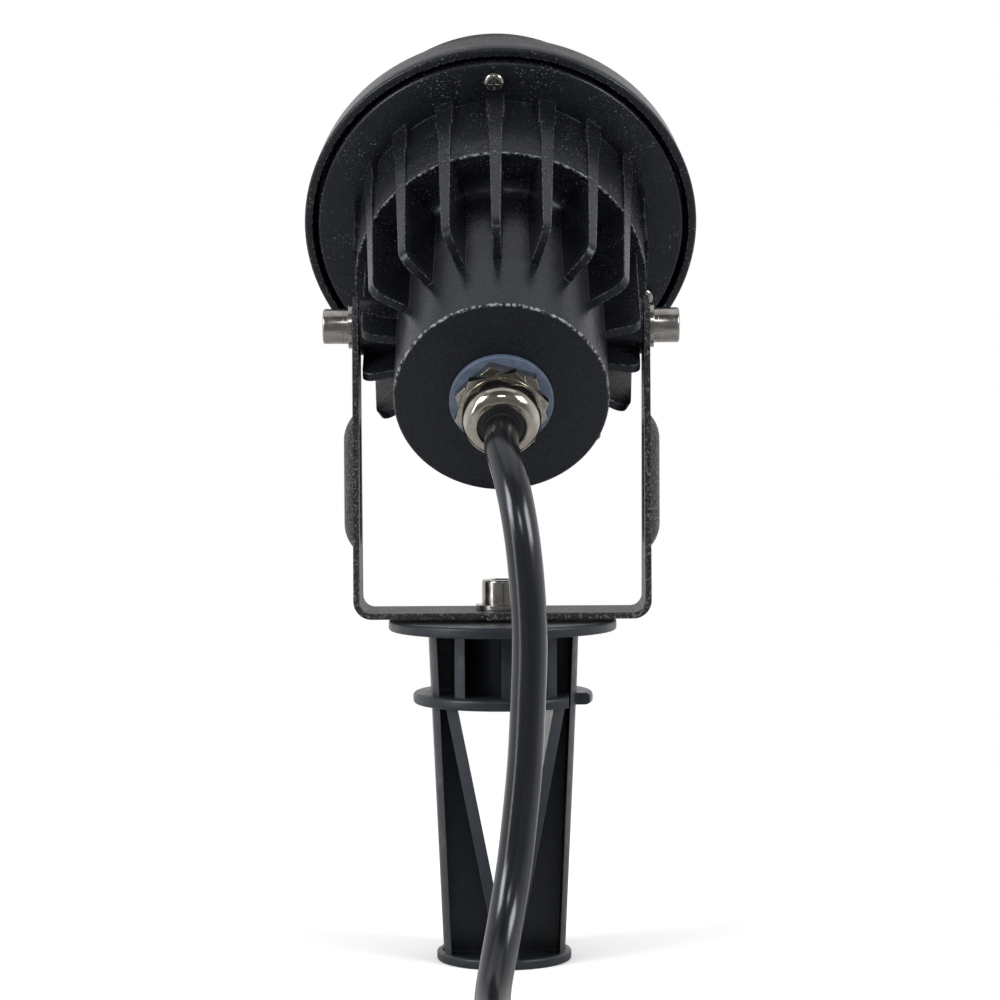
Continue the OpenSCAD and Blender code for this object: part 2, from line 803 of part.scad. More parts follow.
// Each piece sits on a face of the board, at its share of the board's half width and of its length
module driver_parts() {
    side_a = -board_t / 2;
    color("goldenrod")
        in_head() {
            translate([-transformer[0] / 2, side_a - transformer[1], board_back + 0.38 * board_len])
                cube(transformer);
            translate([0, side_a - capacitor_r, board_back + 0.07 * board_len])
                cylinder(r = capacitor_r, h = capacitor_len);
            translate([-0.65 * board_half_w, side_a - choke[1], board_back + 0.1 * board_len])
                cube(choke);
            translate([0.42 * board_half_w, side_a - relay[1], board_back + 0.76 * board_len])
                cube(relay);
            translate([-0.51 * board_half_w, board_t / 2, board_back + 0.19 * board_len])
                cube(rectifier);
            translate([0.19 * board_half_w, board_t / 2, board_back + 0.48 * board_len])
                cube(controller);
        }
}

module supply_wires() {
    color("sienna")
        in_head()
            for (x = [-2, 0, 2])
                translate([x, 0, sheath_inside - core_back])
                    cylinder(r = wire_r, h = supply_len, $fn = 24);
}

module gland_washer() {
    color("lightslategray")
        at_gland()
            difference() {
                rounded_disc(gland_washer_r, gland_washer_t, 0.3);
                translate([0, 0, -past])
                    cylinder(r = gland_thread_r + thread_gap, h = gland_washer_t + 2 * past);
            }
}

module gland_body() {
    color("darkkhaki")
        at_gland()
            difference() {
                union() {
                    translate([0, 0, -rear_wall - locknut_t])
                        cylinder(r = gland_thread_r, h = rear_wall + locknut_t + gland_hex_at + past);
                    translate([0, 0, gland_hex_at])
                        rotate([0, 0, gland_body_turn])
                            hex_prism(gland_af, gland_body_hex);
                    translate([0, 0, gland_hex_at])
                        cylinder(r = gland_tube_r, h = gland_tube_end - gland_hex_at);
                }
                translate([0, 0, -rear_wall - locknut_t - past])
                    cylinder(r = cord_r + 0.4, h = rear_wall + locknut_t + gland_end);
                translate([0, 0, gland_collar_at])
                    cylinder(r = gland_tube_r - 0.9, h = gland_end);
            }
}

module gland_locknut() {
    color("darkkhaki")
        at_gland()
            translate([0, 0, -rear_wall - locknut_t])
                difference() {
                    hex_prism(gland_af + 3, locknut_t);
                    translate([0, 0, -past])
                        cylinder(r = gland_thread_r + thread_gap, h = locknut_t + 2 * past);
                }
}

module gland_nut() {
    dome_r = gland_af / 2 - 0.45;
    lip = 0.6;
    drop = dome_r - gland_mouth_r - lip;
    color("darkkhaki")
        at_gland()
            difference() {
                union() {
                    translate([0, 0, gland_nut_at])
                        rotate([0, 0, gland_nut_turn])
                            hex_prism(gland_af, gland_nut_hex);
                    rotate_extrude()
                        polygon(concat(
                            [[0, gland_nut_at], [dome_r, gland_nut_at], [dome_r, gland_end - 1.3 * drop]],
                            [for (a = [15:15:90]) [dome_r - drop + drop * cos(a), gland_end - 1.3 * drop + 1.3 * drop * sin(a)]],
                            [[0, gland_end]]
                        ));
                }
                translate([0, 0, gland_nut_at - past])
                    cylinder(r = gland_tube_r + thread_gap, h = gland_tube_end - gland_nut_at + past + 0.2);
                translate([0, 0, gland_nut_at - past])
                    cylinder(r = gland_mouth_r, h = gland_end);
            }
}

module gland_seal() {
    color("#151515")
        at_gland()
            difference() {
                union() {
                    translate([0, 0, gland_collar_at])
                        cylinder(r = gland_tube_r - 1, h = gland_tube_end - gland_collar_at);
                    translate([0, 0, gland_collar_at])
                        cylinder(r = gland_mouth_r - 0.1, h = gland_end - 0.6 - gland_collar_at);
                }
                translate([0, 0, gland_collar_at - past])
                    cylinder(r = cord_r + cord_fit, h = gland_end);
            }
}

module cord_inner() {
    color("#101010")
        at_gland()
            translate([0, 0, -sheath_inside])
                cylinder(r = cord_r, h = sheath_inside + cord_exit);
}

module pivot_bolts() {
    color("gainsboro")
        translate([0, 0, pivot_z])
            at_pivots()
                translate([0, 0, pivot_head_x])
                    socket_bolt(pivot_bolt_r, pivot_bolt_len, pivot_head_r, pivot_head_h, 1.6 * pivot_bolt_r);
}

// A split ring: one narrow slot lets it spring
module pivot_spring_washers() {
    color("gray")
        translate([0, 0, pivot_z])
            at_pivots()
                translate([0, 0, spring_washer_x])
                    difference() {
                        cylinder(r = pivot_head_r, h = spring_washer_t);
                        translate([0, 0, -past])
                            cylinder(r = pivot_bolt_r + washer_gap, h = spring_washer_t + 2 * past);
                        translate([0, -0.3, -past])
                            cube([pivot_head_r + past, 0.6, spring_washer_t + 2 * past]);
                    }
}

module pivot_flat_washers() {
    color("silver")
        translate([0, 0, pivot_z])
            at_pivots()
                translate([0, 0, flat_washer_x])
                    difference() {
                        cylinder(r = flat_washer_r, h = flat_washer_t);
                        translate([0, 0, -past])
                            cylinder(r = pivot_bolt_r + washer_gap, h = flat_washer_t + 2 * past);
                    }
}

// The U of the strap, seen from the front, with z counted from its underside
module strap_profile() {
    inner_r = bend_r - strap_t;
    difference() {
        union() {
            for (side = [-1, 1])
                translate([side * (arm_out_x - bend_r), bend_r])
                    circle(r = bend_r);
            translate([-arm_out_x + bend_r, 0])
                square([2 * (arm_out_x - bend_r), bend_r]);
            translate([-arm_out_x, bend_r])
                square([2 * arm_out_x, pivot_above_strap + ear_r]);
        }
        for (side = [-1, 1])
            translate([side * (arm_in_x - inner_r), strap_t + inner_r])
                circle(r = inner_r);
        translate([-arm_in_x + inner_r, strap_t])
            square([2 * (arm_in_x - inner_r), inner_r + past]);
        translate([-arm_in_x, strap_t + inner_r])
            square([2 * arm_in_x, pivot_above_strap + 2 * ear_r]);
    }
}

// The strap seen from the side: full width at the bottom, narrowing to the round ears
module strap_side() {
    circle(r = ear_r);
    polygon([
        [pivot_above_strap, -strap_w / 2], [pivot_above_strap, strap_w / 2],
        [pivot_above_strap - bend_r, strap_w / 2], [0, ear_r], [0, -ear_r],
        [pivot_above_strap - bend_r, -strap_w / 2]
    ]);
}

// A capsule that stands out of the arm as the pressed bead, or cuts the hollow behind it
module bead(shrink) {
    full_r = (bead_w * bead_w / 4 + bead_h * bead_h) / (2 * bead_h);
    r = full_r - shrink;
    axis_x = arm_out_x + bead_h - full_r;
    high = pivot_z - bead_drop - bead_w / 2;
    low = pivot_z - bead_drop - bead_len + bead_w / 2;
    for (z = [low, high])
        translate([axis_x, 0, z])
            sphere(r = r);
    translate([axis_x, 0, low])
        cylinder(r = r, h = high - low);
}

module bracket() {
    color("#1e2024")
        difference() {
            union() {
                intersection() {
                    translate([0, 0, strap_z])
                        rotate([90, 0, 0])
                            linear_extrude(strap_w, center = true)
                                strap_profile();
                    translate([0, 0, pivot_z])
                        rotate([0, 90, 0])
                            linear_extrude(3 * arm_out_x, center = true)
                                strap_side();
                }
                for (side = [0, 1])
                    mirror([side, 0, 0])
                        intersection() {
                            bead(0);
                            translate([arm_in_x, -bead_w, strap_z])
                                cube([bead_w, 2 * bead_w, pivot_above_strap]);
                        }
            }
            for (side = [0, 1])
                mirror([side, 0, 0])
                    bead(strap_t);
            translate([0, 0, pivot_z])
                at_pivots()
                    cylinder(r = pivot_bolt_r + bolt_play, h = arm_out_x + past);
            translate([0, 0, strap_z - past])
                cylinder(r = base_bolt_r + bolt_play, h = strap_t + 2 * past);
        }
}

module cord_lead() {
    color("#121212")
        tube(lead_route, cord_r, 10, [1, 0, 0]);
}

module cord_coil() {
    color("#121212")
        tube(coil_route, cord_r, 6, [0, 0, -1]);
}

// A strap pulled round the cord's passes, with its lock on top and a short tail
module cord_tie() {
    top = max([for (p = tie_passes) p[1]]) + cord_r + tie_gap + tie_t;
    top_r = tie_passes[len(tie_passes) - 1][0];
    color("dimgray")
        translate([coil_centre[0], coil_centre[1], 0])
            rotate([0, 0, tie_angle]) {
                rotate([90, 0, 0])
                    linear_extrude(tie_w, center = true)
                        difference() {
                            hull()
                                for (p = tie_passes)
                                    translate(p)
                                        circle(r = cord_r + tie_gap + tie_t, $fn = 24);
                            hull()
                                for (p = tie_passes)
                                    translate(p)
                                        circle(r = cord_r + tie_gap, $fn = 24);
                        }
                translate([top_r - 2.5, -tie_w / 2 - 0.8, top - tie_t / 2])
                    cube([5, tie_w + 1.6, 3.4]);
                translate([top_r - 12, -tie_w / 2, top + 0.9])
                    cube([10, tie_w, 1]);
            }
}

module cord_cores() {
    spread = 1.6;
    color("chocolate")
        for (k = [-1, 0, 1])
            tube(core_route(k * spread, k == 0 ? spread : -0.9), core_r_wire, 6, [0, 0, -1]);
}

// An outline in the XZ plane, extruded along Y through the whole stake
module across(depth) {
    rotate([90, 0, 0])
        linear_extrude(depth, center = true)
            children();
}

// Upper half width of the V at a height, from its tip
function v_x(z) = v_half_w * (z - v_tip_z) / (collar_z - v_tip_z);

// The side plates lean in from the top disc to the foot
function side_x(z) = side_x_foot + (side_x_top - side_x_foot) * (z - foot_t) / (top_disc_under - foot_t);

module stake_plates() {
    deep = 2 * hub_r + past;
    difference() {
        union() {
            for (side = [-1, 1]) {
                across(deep)
                    polygon([
                        [side * (side_x(0) - plate_wall / 2), 0], [side * (side_x(0) + plate_wall / 2), 0],
                        [side * (side_x(top_disc_z - 1) + plate_wall / 2), top_disc_z - 1],
                        [side * (side_x(top_disc_z - 1) - plate_wall / 2), top_disc_z - 1]
                    ]);
                across(deep)
                    polygon([
                        [side * v_x(v_tip_z), v_tip_z], [side * v_x(collar_z + 1), collar_z + 1],
                        [side * (v_x(collar_z + 1) + v_wall), collar_z + 1], [side * v_wall, v_tip_z],
                        [side * v_wall, 1], [0, 1]
                    ]);
                translate([side * rib_x - rib_t / 2, -deep / 2, collar_z + 1])
                    cube([rib_t, deep, top_disc_z - 2 - collar_z]);
            }
            translate([-rib_t / 2, -deep / 2, collar_z + 1])
                cube([rib_t, deep, top_disc_z - 2 - collar_z]);
            across(plate_wall)
                polygon([[-side_x(0), 1], [side_x(0), 1], [side_x(top_disc_z), top_disc_z - 1], [-side_x(top_disc_z), top_disc_z - 1]]);
        }
        across(deep + 2)
            polygon([[0, v_tip_z], [v_x(collar_z + 0.5), collar_z + 0.5], [-v_x(collar_z + 0.5), collar_z + 0.5]]);
    }
}

module stake() {
    color("#23262b")
        difference() {
            union() {
                difference() {
                    rounded_disc(foot_r, foot_t, 0.6);
                    translate([0, 0, foot_t - foot_recess])
                        cylinder(r = foot_r - foot_rim, h = foot_recess + past);
                }
                rotate([0, 0, stake_turn])
                    intersection() {
                        stake_plates();
                        union() {
                            translate([0, 0, foot_t - foot_recess - 0.3])
                                cylinder(r1 = plates_r_foot, r2 = plates_r_top, h = collar_z - foot_t + foot_recess + 0.8);
                            translate([0, 0, collar_z + 0.4])
                                cylinder(r = hub_r, h = top_disc_z - collar_z - 1.4);
                        }
                    }
                difference() {
                    translate([0, 0, collar_z])
                        rounded_disc(collar_r, collar_t, 1);
                    rotate([0, 0, stake_turn])
                        translate([notch_x, -notch_y - collar_r, collar_z - past])
                            cube([collar_r, collar_r, collar_t + 2 * past]);
                }
                translate([0, 0, collar_z + 1])
                    cylinder(r = hub_boss_r, h = top_disc_z - 2 - collar_z);
                translate([0, 0, top_disc_under])
                    rounded_disc(top_disc_r, top_disc_t, 0.7);
            }
            translate([0, 0, collar_z])
                cylinder(r = base_bolt_r + bolt_play, h = top_disc_z);
            translate([0, 0, collar_z - past])
                hex_prism(nut_af + 2 * nut_gap, nut_top_z - collar_z + past);
        }
}

module base_bolt() {
    color("gainsboro")
        translate([0, 0, base_head_z])
            socket_bolt(base_bolt_r, base_bolt_len, base_head_r, base_head_h, 1.67 * base_bolt_r);
}

module base_nut() {
    color("silver")
        translate([0, 0, nut_top_z - nut_h])
            difference() {
                hex_prism(nut_af, nut_h);
                translate([0, 0, -past])
                    cylinder(r = base_bolt_r + thread_gap, h = nut_h + 2 * past);
            }
}

module base_washer() {
    color("silver")
        translate([0, 0, base_washer_z])
            difference() {
                cylinder(r = base_washer_r, h = base_washer_t);
                translate([0, 0, -past])
                    cylinder(r = base_bolt_r + washer_gap, h = base_washer_t + 2 * past);
            }
}

module swivel_washer() {
    color("silver")
        translate([0, 0, top_disc_z])
            difference() {
                cylinder(r = base_washer_r, h = swivel_washer_t);
                translate([0, 0, -past])
                    cylinder(r = base_bolt_r + washer_gap, h = swivel_washer_t + 2 * past);
            }
}

heat_sink();
front_cap();
cap_screws();
glass_lens();
lens_gasket();
reflector();
led_plate();
plate_screws();
led_cob();
cob_holder();
led_wires();
driver_board();
driver_parts();
supply_wires();
gland_washer();
gland_body();
gland_locknut();
gland_nut();
gland_seal();
cord_inner();
pivot_bolts();
pivot_spring_washers();
pivot_flat_washers();
bracket();
cord_lead();
cord_coil();
cord_tie();
cord_cores();
stake();
base_bolt();
base_nut();
base_washer();
swivel_washer();
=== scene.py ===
"""Looks of the garden spotlight: cord, finishes, fine pieces, light and camera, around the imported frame."""
import math

import bpy
import numpy as np
from mathutils import Matrix


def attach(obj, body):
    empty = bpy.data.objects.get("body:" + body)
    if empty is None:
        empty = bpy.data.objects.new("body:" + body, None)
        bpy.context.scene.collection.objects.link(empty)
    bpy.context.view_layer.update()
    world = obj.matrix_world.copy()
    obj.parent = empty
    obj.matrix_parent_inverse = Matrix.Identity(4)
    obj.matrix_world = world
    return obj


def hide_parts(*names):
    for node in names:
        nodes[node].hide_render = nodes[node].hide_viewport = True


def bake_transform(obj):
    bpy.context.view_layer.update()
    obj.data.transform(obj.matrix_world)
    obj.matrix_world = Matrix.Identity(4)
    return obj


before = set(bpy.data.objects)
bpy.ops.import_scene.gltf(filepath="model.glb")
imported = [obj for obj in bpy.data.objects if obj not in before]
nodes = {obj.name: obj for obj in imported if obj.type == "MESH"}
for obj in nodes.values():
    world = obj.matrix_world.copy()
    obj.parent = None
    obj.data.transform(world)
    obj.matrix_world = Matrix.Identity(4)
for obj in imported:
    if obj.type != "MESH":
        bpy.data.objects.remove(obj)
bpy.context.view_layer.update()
MM = 0.001

# Camera: the photograph's view from behind the lamp, nearly level with the pivot and a little downwards. The
# focal length is in pixels of a picture 1000 pixels wide.
VIEW_FROM = (0.0, -0.791, 0.1497)
DOWN = math.radians(2.72)
ROLL = math.radians(-0.3)
YAW = math.radians(0.035)
FOCAL_PIXELS = 3260
PICTURE_PIXELS = 1000
SENSOR_MM = 36.0
camera = bpy.data.objects.new("camera", bpy.data.cameras.new("camera"))
bpy.context.scene.collection.objects.link(camera)
camera.data.sensor_width = SENSOR_MM
camera.data.lens = FOCAL_PIXELS / PICTURE_PIXELS * SENSOR_MM
camera.data.clip_start = 0.05
camera.matrix_world = (
    Matrix.Translation(VIEW_FROM)
    @ Matrix.Rotation(YAW, 4, "Z")
    @ Matrix.Rotation(math.pi / 2 - DOWN, 4, "X")
    @ Matrix.Rotation(ROLL, 4, "Z")
)
bpy.context.scene.camera = camera

# Cord: 8 mm rubber sheathed cable, 1 m long. It leaves the gland, drops behind the bracket, turns on the
# floor and is wound into a flat coil of two layers behind the lamp.
CORD_D = 8.0
PIVOT_Z = 154.4
TILT = math.radians(30)
GLAND_OUT = 48.4
CORD_OUT = np.array([0, -math.cos(TILT), -math.sin(TILT)])
CORD_START = np.array([0, 0, PIVOT_Z]) + GLAND_OUT * CORD_OUT
COIL_CENTRE = np.array([0.0, -190.0])
COIL_FROM = 122.2
COIL_R = 50.0
COIL_PITCH = 8.5
TURNS_IN = 1.5
TURNS_OUT = 1.4
CLIMB = 0.5
TIE_ANGLE = COIL_FROM + 75
TIE_LIFT = 0.9
HUMP_DEG = 30
LINE_STEP = 1.5
POINTS_A_TURN = 200
END_POINTS = 6
CORD_SIDES = 20
CORD_INSET = 0.01
JOIN_GAP = 0.5
TURN_OVER_AT = 150
TURN_OVER_LEN = 30
LEAD_POINTS = [
    (0.7, -52.4, 123.8), (1.9, -56.7, 120), (3.2, -60.7, 114.3), (4.4, -63.4, 107),
    (5.3, -64.6, 98.7), (6, -65, 85), (5.6, -65.5, 70), (4.9, -66, 57), (3.6, -67, 44),
    (2.2, -69, 33), (0.6, -72.4, 24), (-0.6, -76.4, 18), (-1.7, -81.3, 13), (-2.5, -87, 9),
    (-2.6, -93.5, 6.2), (-2.3, -100, 4.6), (-1.7, -107, 4), (-1.2, -113.4, 4), (-2.1, -121.6, 4),
    (-5.2, -129.3, 4), (-10.1, -136, 4),
]


def coil_line(turn):
    """Middle of the cord after a number of turns: the radius shrinks by one pitch a turn, then grows again
    on the layer above. The height is a half cosine over the climb, plus a hump over the tie's strand."""
    angle = COIL_FROM + 360 * turn
    radius = COIL_R - COIL_PITCH * (TURNS_IN - np.abs(turn - TURNS_IN))
    share = np.clip((turn - TURNS_IN) / CLIMB + 0.5, 0, 1)
    off = ((angle - TIE_ANGLE + 540) % 360 - 180) / HUMP_DEG
    height = CORD_D / 2 + TIE_LIFT * np.exp(-off * off) + COIL_PITCH * (1 - np.cos(np.pi * share)) / 2
    a = np.radians(angle)
    x = COIL_CENTRE[0] + radius * np.cos(a)
    y = COIL_CENTRE[1] + radius * np.sin(a)
    return np.stack([x, y, height], axis=-1)


def coil_heading(turn):
    """Unit tangent of a circle at that turn."""
    a = math.radians(COIL_FROM + 360 * turn)
    return np.array([-math.sin(a), math.cos(a), 0])


def smooth_line(points, step):
    """Cubic curve through the points: in each span a Hermite blend of its two ends, whose slopes are the
    chords from neighbour to neighbour over their lengths. It is sampled every step along the chords."""
    p = np.array(points, float)
    chord = np.linalg.norm(np.diff(p, axis=0), axis=1)
    at = np.concatenate([[0], np.cumsum(chord)])
    slope = np.gradient(p, at, axis=0)
    t = np.linspace(0, at[-1], int(at[-1] / step) + 1)
    k = np.clip(np.searchsorted(at, t, side="right") - 1, 0, len(p) - 2)
    h = (at[k + 1] - at[k])[:, None]
    u = ((t - at[k])[:, None]) / h
    return (
        (2 * u**3 - 3 * u**2 + 1) * p[k] + (u**3 - 2 * u**2 + u) * h * slope[k]
        + (3 * u**2 - 2 * u**3) * p[k + 1] + (u**3 - u**2) * h * slope[k + 1]
    )


def make_piece(name, points, faces, uv):
    """A smooth mesh object of points in millimetres and faces as index rows, with one UV pair for each
    corner of a face."""
    mesh = bpy.data.meshes.new(name)
    mesh.from_pydata((np.asarray(points) * MM).tolist(), [], [list(map(int, f)) for f in faces])
    mesh.uv_layers.new(name="along").data.foreach_set("uv", np.asarray(uv, np.float32).ravel())
    mesh.polygons.foreach_set("use_smooth", np.ones(len(mesh.polygons), bool))
    mesh.update()
    piece = bpy.data.objects.new(name, mesh)
    bpy.context.scene.collection.objects.link(piece)
    return piece


def ring_faces(rows, columns):
    """Quads between the neighbouring points of a grid, numbered row by row, whose last column joins its
    first."""
    i = np.arange(rows - 1)[:, None]
    j = np.arange(columns)[None, :]
    a = i * columns + j
    b = i * columns + (j + 1) % columns
    return np.stack([a, b, b + columns, a + columns], axis=-1).reshape(-1, 4)


def distance_along(line):
    """The sum of the lengths of the line's steps, up to each of its points."""
    return np.concatenate([[0], np.cumsum(np.linalg.norm(np.diff(line, axis=0), axis=1))])


def tube(line, radius, sides, reference):
    """Circles of the radius about each point of the line. The reference, less its part along the line's
    direction, gives each circle's first axis, and the cross product gives the second. U goes round the
    tube and V is the distance along it in metres."""
    along = np.gradient(line, axis=0)
    along /= np.linalg.norm(along, axis=1)[:, None]
    first = reference - (reference * along).sum(1)[:, None] * along
    first /= np.linalg.norm(first, axis=1)[:, None]
    second = np.cross(along, first)
    a = np.linspace(0, 2 * np.pi, sides, endpoint=False)
    ring = np.cos(a)[None, :, None] * first[:, None, :] + np.sin(a)[None, :, None] * second[:, None, :]
    radius = np.broadcast_to(radius, (len(line),))
    points = (line[:, None, :] + radius[:, None, None] * ring).reshape(-1, 3)
    faces = ring_faces(len(line), sides)[:, ::-1]
    run = distance_along(line) / 1000
    rows = faces // sides
    columns = faces % sides
    columns = np.where((columns == 0) & (columns.max(1) == sides - 1)[:, None], sides, columns)
    uv = np.stack([columns / sides, run[rows]], axis=-1)
    return points, faces, uv


turns = TURNS_IN + TURNS_OUT
start_heading = coil_heading(0)
end_heading = coil_heading(turns)
coil_start = coil_line(np.array([0.0]))[0] - CORD_D * start_heading
coil_end = coil_line(np.array([turns]))[0] + CORD_D * end_heading
lead = smooth_line(
    [CORD_START, CORD_START + CORD_D / 2 * CORD_OUT, CORD_START + CORD_D * CORD_OUT, *LEAD_POINTS,
     coil_start - CORD_D / 2 * start_heading, coil_start, coil_start + CORD_D / 2 * start_heading],
    LINE_STEP)
past = (lead - coil_start) @ start_heading
near = np.linalg.norm(lead - coil_start, axis=1) < 2 * CORD_D
lead = lead[~(near & (past > -JOIN_GAP))]
wound = coil_line(np.linspace(0, turns, int(turns * POINTS_A_TURN) + 1))
cord_line = np.vstack([
    lead,
    coil_start + np.linspace(0, 1, END_POINTS)[:-1, None] * CORD_D * start_heading,
    wound,
    wound[-1] + np.linspace(0, 1, END_POINTS)[1:, None] * CORD_D * end_heading,
])
run = distance_along(cord_line)
turn_over = np.clip((run - TURN_OVER_AT) / TURN_OVER_LEN, 0, 1)[:, None]
sideways = (1 - turn_over) * np.array([1.0, 0, 0]) + turn_over * np.array([0, 0, 1.0])
cord_points, cord_faces, cord_uv = tube(cord_line, CORD_D / 2 - CORD_INSET, CORD_SIDES, sideways)
cord = make_piece("cord", cord_points, cord_faces, cord_uv)


def new_finish(name, colour, roughness, metallic=0.0):
    """A material with one Principled shader whose constants sit on its own sockets, and Object
    coordinates."""
    material = bpy.data.materials.new(name)
    material.use_nodes = True
    tree = material.node_tree
    shader = tree.nodes["Principled BSDF"]
    shader.inputs["Base Color"].default_value = (*colour, 1)
    shader.inputs["Roughness"].default_value = roughness
    shader.inputs["Metallic"].default_value = metallic
    coords = tree.nodes.new("ShaderNodeTexCoord")
    return material, tree, shader, coords.outputs["Object"]


def add_node(tree, kind, **values):
    """A node with the given settings. A name that starts with in_ sets an input socket."""
    node = tree.nodes.new(kind)
    for key, value in values.items():
        if key.startswith("in_"):
            node.inputs[key[3:].replace("_", " ")].default_value = value
        else:
            setattr(node, key, value)
    return node


def map_range(tree, value, low, high, to_low=0.0, to_high=1.0, **settings):
    """Maps low to high of a value onto to_low to to_high, and holds it there outside them."""
    node = add_node(tree, "ShaderNodeMapRange", **settings)
    node.inputs["From Min"].default_value = low
    node.inputs["From Max"].default_value = high
    node.inputs["To Min"].default_value = to_low
    node.inputs["To Max"].default_value = to_high
    tree.links.new(value, node.inputs["Value"])
    return node.outputs["Result"]


def grain(tree, place, size_mm, detail=2.0, stretch=None):
    """Noise whose features are about size_mm across, from 0 to 1. Stretch scales the coordinates first."""
    if stretch:
        turn = add_node(tree, "ShaderNodeMapping", in_Scale=stretch)
        tree.links.new(place, turn.inputs["Vector"])
        place = turn.outputs["Vector"]
    noise = add_node(tree, "ShaderNodeTexNoise", in_Scale=1000 / size_mm, in_Detail=detail)
    tree.links.new(place, noise.inputs["Vector"])
    return noise.outputs["Fac"]


def spread(tree, value, low, high):
    """Maps 0.3 to 0.7 of a noise, where most of it lies, onto low to high."""
    return map_range(tree, value, 0.3, 0.7, low, high)


def two_tones(tree, value, dark, light):
    """A colour between dark and light, by a noise."""
    ramp = add_node(tree, "ShaderNodeValToRGB")
    ramp.color_ramp.elements[0].position = 0.3
    ramp.color_ramp.elements[0].color = (*dark, 1)
    ramp.color_ramp.elements[1].position = 0.7
    ramp.color_ramp.elements[1].color = (*light, 1)
    tree.links.new(value, ramp.inputs["Fac"])
    return ramp.outputs["Color"]


def times(tree, one, other):
    """The product of two values, held between 0 and 1."""
    node = add_node(tree, "ShaderNodeMath", operation="MULTIPLY", use_clamp=True)
    tree.links.new(one, node.inputs[0])
    tree.links.new(other, node.inputs[1])
    return node.outputs["Value"]


def edge_mask(tree, radius_mm, speck_mm):
    """1 on outward edges and 0 on open faces and in corners: where the face's normal and the normal of an
    edge rounded to that radius differ, times how open the surroundings are, times specks of a fine noise."""
    turn_from = 0.004
    turn_full = 0.05
    open_from = 0.72
    open_full = 0.95
    reach_mm = 2
    edge = add_node(tree, "ShaderNodeBevel", samples=4, in_Radius=radius_mm * MM)
    face = add_node(tree, "ShaderNodeNewGeometry")
    dot = add_node(tree, "ShaderNodeVectorMath", operation="DOT_PRODUCT")
    tree.links.new(edge.outputs["Normal"], dot.inputs[0])
    tree.links.new(face.outputs["Normal"], dot.inputs[1])
    turned = map_range(tree, dot.outputs["Value"], 1 - turn_from, 1 - turn_full)
    coords = add_node(tree, "ShaderNodeTexCoord")
    speck = spread(tree, grain(tree, coords.outputs["Object"], speck_mm, 2.0), -1.3, 2.0)
    near = add_node(tree, "ShaderNodeAmbientOcclusion", samples=4, in_Distance=reach_mm * MM)
    outward = map_range(tree, near.outputs["AO"], open_from, open_full)
    return times(tree, times(tree, turned, outward), speck)


def dust_and_glint_specks(tree, place, size_mm, least):
    """1 on a few fine grains and 0 between them: the part of a fine noise above the given least value."""
    full = least + 0.05
    return map_range(tree, grain(tree, place, size_mm, 1.0), least, full)


def lamp_place(tree, place):
    """The place as seen along the lamp's axis from the pivot: X across, Y forwards and Z upwards."""
    turn = add_node(tree, "ShaderNodeMapping", vector_type="TEXTURE", in_Location=(0, 0, PIVOT_Z * MM),
                    in_Rotation=(TILT, 0, 0))
    tree.links.new(place, turn.inputs["Vector"])
    apart = add_node(tree, "ShaderNodeSeparateXYZ")
    tree.links.new(turn.outputs["Vector"], apart.inputs["Vector"])
    return turn.outputs["Vector"], apart


def rim_highlight_mask(tree, place, radius_mm, back_mm, wide_mm):
    """Mask of a painted highlight on a rim, where light from above would catch it: 1 on the upper half of a
    circle about the lamp's axis, back_mm behind the pivot, and 0 from wide_mm away from it: the distance is
    the length of the pair of differences in radius and in place along the axis. Fine specks break it up."""
    turned, apart = lamp_place(tree, place)
    across = add_node(tree, "ShaderNodeVectorMath", operation="MULTIPLY")
    across.inputs[1].default_value = (1, 0, 1)
    tree.links.new(turned, across.inputs[0])
    radius = add_node(tree, "ShaderNodeVectorMath", operation="LENGTH")
    tree.links.new(across.outputs["Vector"], radius.inputs[0])
    pair = add_node(tree, "ShaderNodeCombineXYZ")
    tree.links.new(radius.outputs["Value"], pair.inputs["X"])
    tree.links.new(apart.outputs["Y"], pair.inputs["Y"])
    off = add_node(tree, "ShaderNodeVectorMath", operation="DISTANCE")
    off.inputs[1].default_value = (radius_mm * MM, -back_mm * MM, 0)
    tree.links.new(pair.outputs["Vector"], off.inputs[0])
    ring = map_range(tree, off.outputs["Value"], wide_mm * MM, 0.3 * wide_mm * MM)
    upper = map_range(tree, apart.outputs["Z"], -0.2 * radius_mm * MM, 0.5 * radius_mm * MM)
    specks = spread(tree, grain(tree, place, 0.9, 2.0), -1.2, 1.9)
    return times(tree, times(tree, ring, upper), specks)


def lighten(tree, base, mask, edge_colour):
    """The base colour, moved to the edge colour where the mask is 1."""
    mix = add_node(tree, "ShaderNodeMixRGB")
    tree.links.new(mask, mix.inputs["Fac"])
    tree.links.new(base, mix.inputs["Color1"])
    mix.inputs["Color2"].default_value = (*edge_colour, 1)
    return mix.outputs["Color"]


def raise_surface(tree, shader, height, depth_mm, edge_mm=0.0, under=None):
    """Bumps the surface by a height map of that depth. Edge_mm rounds the edges in the shading."""
    bump = add_node(tree, "ShaderNodeBump", in_Strength=1.0, in_Distance=depth_mm * MM)
    tree.links.new(height, bump.inputs["Height"])
    if edge_mm:
        edge = add_node(tree, "ShaderNodeBevel", samples=6, in_Radius=edge_mm * MM)
        under = edge.outputs["Normal"]
    if under is not None:
        tree.links.new(under, bump.inputs["Normal"])
    tree.links.new(bump.outputs["Normal"], shader.inputs["Normal"])
    return bump.outputs["Normal"]


